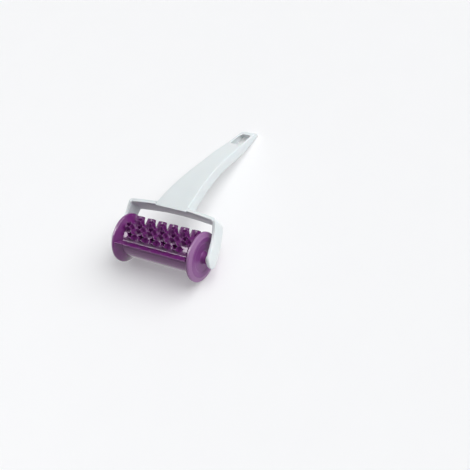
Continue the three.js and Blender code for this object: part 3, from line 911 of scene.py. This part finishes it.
def handle_block():
    """The whole grip before anything is cut from it."""
    rings = []
    for k in range(5):
        angle = math.pi / 2 * k / 4
        inset = lip_round * (1 - math.sin(angle))
        y = lip_front + lip_round * (1 - math.cos(angle))
        ring = grip_ring(half_width_at(y) - inset, lip_bottom + inset, top_at(y) - inset, handle_edge)
        rings.append([(x, y + (top_at(y) - z) * math.tan(fork_tilt), z) for x, z in ring])
    # Behind the lip the underside follows the crossbar's outer face down to the back.
    root_drop = lip_bottom - back_top
    root_places = [bar_face(lip_bottom - root_drop * k / 3) for k in range(4)]
    root_start, root_end = root_places[0], root_places[-1]
    for y in sorted(grip_stations() + root_places):
        if y < root_start:
            low = lip_bottom
        elif y < root_end:
            low = lip_bottom - (y - root_start) / (root_end - root_start) * root_drop
        else:
            low = bottom_at(y)
        rings.append([(x, y, z) for x, z in grip_ring(half_width_at(y), low, top_at(y), handle_edge)])
    thin = 0.02
    y = tip_reach - thin
    high = top_at(y)
    low = min(bottom_at(y), high - thin)
    rings.append([(x, y, z) for x, z in grip_ring(half_width_at(y), low, high, handle_edge)])
    return lofted(rings)


def cover_block(inset, end, thickness, under, edge):
    """The back cover's slab, or with other values the space that it lies in."""
    rings = []
    start, corner_start = bar_face(back_top) + 0.2, end - tip_corner
    places = [start + k * (corner_start - start) / 70 for k in range(71)]
    places += [corner_start + tip_corner * math.sin(math.pi / 2 * k / 6) for k in range(1, 7)]
    for y in places:
        low = bottom_at(y) if y < flat_start else flat_at(y)
        width = half_width_at(y, inset, end)
        rings.append([(x, y, z) for x, z in grip_ring(width, low - under, low + thickness, edge)])
    return lofted(rings)


def corner_arcs(corner, corner_middle):
    """An outline of four round corners; corner_middle gives a corner's centre from its two sides."""
    outline = []
    for x_side, y_side, start in ((1, 1, 0), (-1, 1, 90), (-1, -1, 180), (1, -1, 270)):
        x, y = corner_middle(x_side, y_side)
        for k in range(9):
            angle = math.radians(start + 11.25 * k)
            outline.append((x + corner * math.cos(angle), y + corner * math.sin(angle)))
    return outline


def slot_outline(grow):
    """The hanging hole's rounded slot, larger by grow all round."""
    return corner_arcs(hole_corner + grow, lambda x_side, y_side: (
        x_side * (hole_half_width - hole_corner), y_side * (hole_half_length - hole_corner)))


def relief_outline(grow):
    """The hollow around the hanging hole, which follows the grip's sides inside their walls."""
    def corner_middle(x_side, y_side):
        long = relief_shift + y_side * (relief_half_length + grow)
        wide = half_width_at(hole_middle + long) - relief_side_wall + grow
        return x_side * (wide - relief_corner), long - y_side * relief_corner

    return corner_arcs(relief_corner, corner_middle)


def hole_tool(rims, outline):
    """A prism through the grip, square to its flat back. Rims are (growth, side, depth under it)."""
    fall = math.atan(flat_slope)
    middle = Vector((0, hole_middle, (top_at(hole_middle) + flat_at(hole_middle)) / 2))
    along, up = Vector((0, math.cos(fall), -math.sin(fall))), Vector((0, math.sin(fall), math.cos(fall)))
    rings = []
    for grow, side, depth in rims:
        ring = []
        for across, out in outline(grow):
            # A few tries find the height at which the prism meets the curved front face.
            height = 0.0
            for _ in range(6):
                point = middle + along * out + up * height
                height += (top_at(point.y) if side > 0 else flat_at(point.y)) - point.z
            point = middle + along * out + up * (height - side * depth)
            ring.append((across, point.y, point.z))
        rings.append(ring)
    return finished("hole_tool", *lofted(rings))


# The hole's two rims are rounded over, in steps from 12 to 90 degrees.
turns = [math.radians(12 + 15.6 * k) for k in range(6)]
flare = [(hole_edge * (1 - math.sin(a)), hole_edge * (1 - math.cos(a))) for a in turns]
rims = [(hole_edge, 1, -overrun)] + [(grow, 1, depth) for grow, depth in flare]
rims += [(grow, -1, depth) for grow, depth in reversed(flare)] + [(hole_edge, -1, -overrun)]
hole = hole_tool(rims, slot_outline)
recess = finished("recess", *cover_block(handle_wall, cover_end + cover_gap, cover_thickness + cover_gap,
                                         overrun, recess_edge))
# Around the hole the grip is hollowed from the back to the thickness of its front wall.
relief = hole_tool([(0, 1, relief_front_wall), (0, -1, -overrun)], relief_outline)
handle = cut(finished("handle_grip", *handle_block()), recess, hole, relief)
handle.data.shade_smooth()
handle.data.set_sharp_from_angle(angle=math.radians(36))
handle.data.materials.clear()
handle.data.materials.append(white_abs)
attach(handle, "handle_fork")
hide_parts("handle_front_shell")

cover = finished("handle_cover", *cover_block(handle_wall + cover_gap, cover_end, cover_thickness,
                                              0, cover_edge))
cover.data.materials.append(white_abs)
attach(cover, "handle_fork")
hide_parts("handle_back_cover")


# --- Table, light and camera -----------------------------------------------------------------
# A plain pale table under a broad soft lamp from the right, in a pale room. Two softboxes on
# the left only put a sheen on polished faces. The camera stands where the photograph was taken.
table_half = 4
white_seen = 0.25
white_in_gloss = 0.8


def ray_shares(tree, seen_share, gloss_share):
    """A share for rays that see a thing straight or through a clear piece, and with gloss added."""
    ray = add_node(tree, "ShaderNodeLightPath")
    seen = add_node(tree, "ShaderNodeMath", {"operation": "MAXIMUM"},
                    {0: ray.outputs["Is Camera Ray"], 1: ray.outputs["Is Transmission Ray"]})
    seen = add_node(tree, "ShaderNodeMath", {"operation": "MULTIPLY", 1: seen_share},
                    {0: seen.outputs[0]})
    gloss = add_node(tree, "ShaderNodeMath", {"operation": "MULTIPLY", 1: gloss_share},
                     {0: ray.outputs["Is Glossy Ray"]})
    both = add_node(tree, "ShaderNodeMath", {"operation": "MAXIMUM"},
                    {0: seen.outputs[0], 1: gloss.outputs[0]})
    return seen.outputs[0], both.outputs[0]


def pale_table():
    """A matt white table. A share of plain white in what is seen of it keeps its shadow pale."""
    material, tree, shader = new_material("matt white table")
    shader.inputs["Roughness"].default_value = 0.75
    place = add_node(tree, "ShaderNodeTexCoord").outputs["Object"]
    cloud = add_node(tree, "ShaderNodeTexNoise", {"Scale": 1 / (60 * mm)}, {"Vector": place})
    tint = add_node(tree, "ShaderNodeMix",
                    {"data_type": "RGBA", 6: linear("#f4f4f5"), 7: linear("#f6f6f7")},
                    {0: cloud.outputs["Fac"]})
    tree.links.new(tint.outputs[2], shader.inputs["Base Color"])
    share = ray_shares(tree, white_seen, white_in_gloss)[1]
    white = add_node(tree, "ShaderNodeEmission", {"Color": (1, 1, 1, 1), "Strength": 1.0})
    blend = add_node(tree, "ShaderNodeMixShader",
                     links={0: share, 1: shader.outputs[0], 2: white.outputs[0]})
    tree.links.new(blend.outputs[0], tree.nodes["Material Output"].inputs["Surface"])
    return material


table_corners = [(x * table_half, y * table_half, 0) for x, y in ((-1, -1), (1, -1), (1, 1), (-1, 1))]
table_mesh = bpy.data.meshes.new("table")
table_mesh.from_pydata(table_corners, [], [(0, 1, 2, 3)])
table_mesh.materials.append(pale_table())
table = bpy.data.objects.new("table", table_mesh)
bpy.context.scene.collection.objects.link(table)


def pale_room():
    """The room's soft light, and what is seen of the room itself.

    Seen straight or through a clear piece it is white. In a gloss it is white behind and on the
    left, and greyer in front, where the camera's side of the room stands unlit.
    """
    room = bpy.data.worlds.new("pale room")
    room.use_nodes = True
    tree = room.node_tree
    light = tree.nodes["Background"]
    light.inputs["Color"].default_value = (0.93, 0.96, 1, 1)
    light.inputs["Strength"].default_value = 0.26
    seen, shown = ray_shares(tree, 1, 1)
    way = add_node(tree, "ShaderNodeTexCoord").outputs["Generated"]
    lit_side = add_node(tree, "ShaderNodeVectorMath",
                        {"operation": "DOT_PRODUCT", 1: (-0.6, 0.5, 0.62)}, {0: way})
    gloss = add_node(tree, "ShaderNodeMapRange",
                     {"From Min": -0.4, "From Max": 0.7, "To Min": 0.45, "To Max": 1.0},
                     {"Value": lit_side.outputs["Value"]})
    brightness = add_node(tree, "ShaderNodeMath", {"operation": "MAXIMUM"},
                          {0: gloss.outputs["Result"], 1: seen})
    walls = add_node(tree, "ShaderNodeBackground", {"Color": (1, 1, 1, 1)},
                     {"Strength": brightness.outputs[0]})
    blend = add_node(tree, "ShaderNodeMixShader",
                     links={0: shown, 1: light.outputs[0], 2: walls.outputs[0]})
    tree.links.new(blend.outputs[0], tree.nodes["World Output"].inputs["Surface"])
    return room


bpy.context.scene.world = pale_room()
lamp_distance = 1.5


def lamp(name, kind, direction, energy):
    """A lamp that stands off in a direction from the roller and shines at it."""
    light = bpy.data.objects.new(name, bpy.data.lights.new(name, kind))
    light.data.energy = energy
    away = Vector(direction).normalized()
    light.location = axle_at + away * lamp_distance
    light.rotation_euler = away.to_track_quat("Z", "Y").to_euler()
    bpy.context.scene.collection.objects.link(light)
    return light


def softbox(name, direction, brightness, wide, high):
    """A panel of even brightness, where 1 is white, that only glossy faces show."""
    light = lamp(name, "AREA", direction, brightness * math.pi * wide * high)
    light.data.shape = "RECTANGLE"
    light.data.size = wide
    light.data.size_y = high
    light.visible_diffuse = False


key_lamp = lamp("key_lamp", "SUN", (0.5, 0.36, 0.8), 2.85)
key_lamp.data.angle = math.radians(60)
softbox("top_softbox", (-0.47, -0.2, 0.86), 9, 0.6, 1.2)
softbox("left_softbox", (-0.9, -0.35, 0.3), 6, 0.9, 0.7)

# The camera's place and the directions of its right, its top and its back come from a fit of the
# photograph's points.
camera_at = Vector((0.5556, -0.5475, 0.7818))
camera_right = Vector((0.8580, 0.4489, -0.2498))
camera_up = Vector((-0.2125, 0.7528, 0.6230))
camera_back = Vector((0.4677, -0.4815, 0.7413))
camera = bpy.data.objects.new("camera", bpy.data.cameras.new("camera"))
camera.data.sensor_width = 36
camera.data.lens = 62.3
camera.data.clip_start = 0.01
camera_turn = Matrix((camera_right, camera_up, camera_back)).transposed().to_4x4()
camera.matrix_world = Matrix.Translation(camera_at) @ camera_turn
bpy.context.scene.collection.objects.link(camera)
bpy.context.scene.camera = camera
bpy.context.scene.view_settings.view_transform = "Standard"
